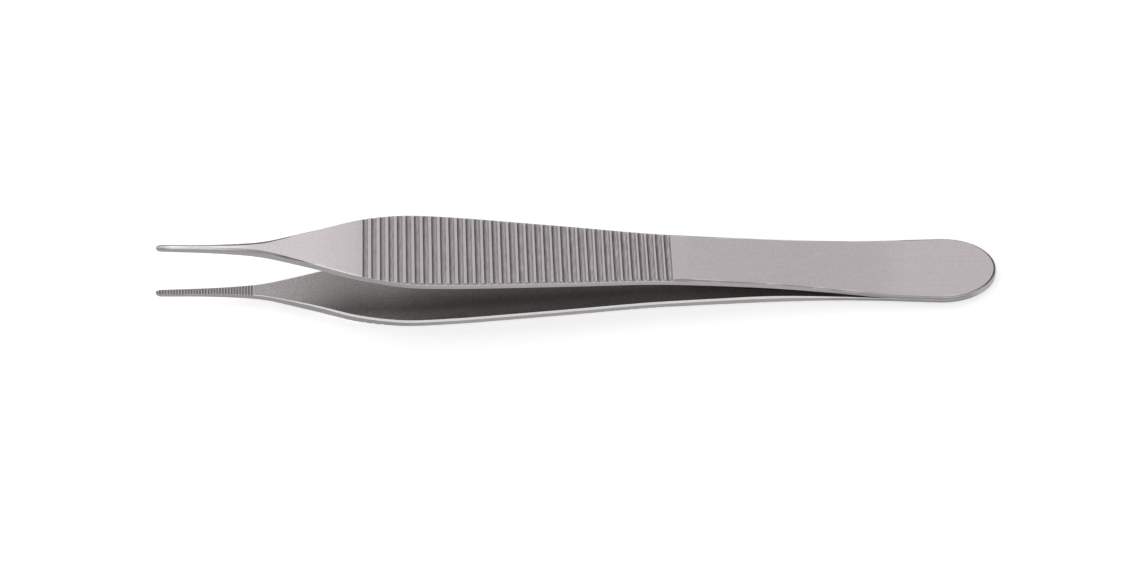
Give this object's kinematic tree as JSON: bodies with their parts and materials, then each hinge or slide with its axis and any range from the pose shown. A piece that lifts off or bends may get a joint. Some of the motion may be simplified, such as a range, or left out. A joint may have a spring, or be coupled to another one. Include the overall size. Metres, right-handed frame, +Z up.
{
  "type": "thumb forceps",
  "caption": "Slender sprung steel thumb forceps with fine serrated jaws, a broad cross-grooved finger grip, a narrow waist and a flat rounded heel where the blades meet.",
  "frame": {"origin": "middle of the forceps' length, on the ground that the lower blade's grip rests on", "axes": "+X from the jaws towards the heel, +Y across the blades, +Z up from the lower blade to the upper one"},
  "size_m": [0.1203, 0.011, 0.0182],
  "materials": {
    "steel": "satin ground stainless steel with fine grain"
  },
  "bodies": {
    "root": {"upper_blade": "steel", "lower_blade": "steel"}
  },
  "joints": []
}
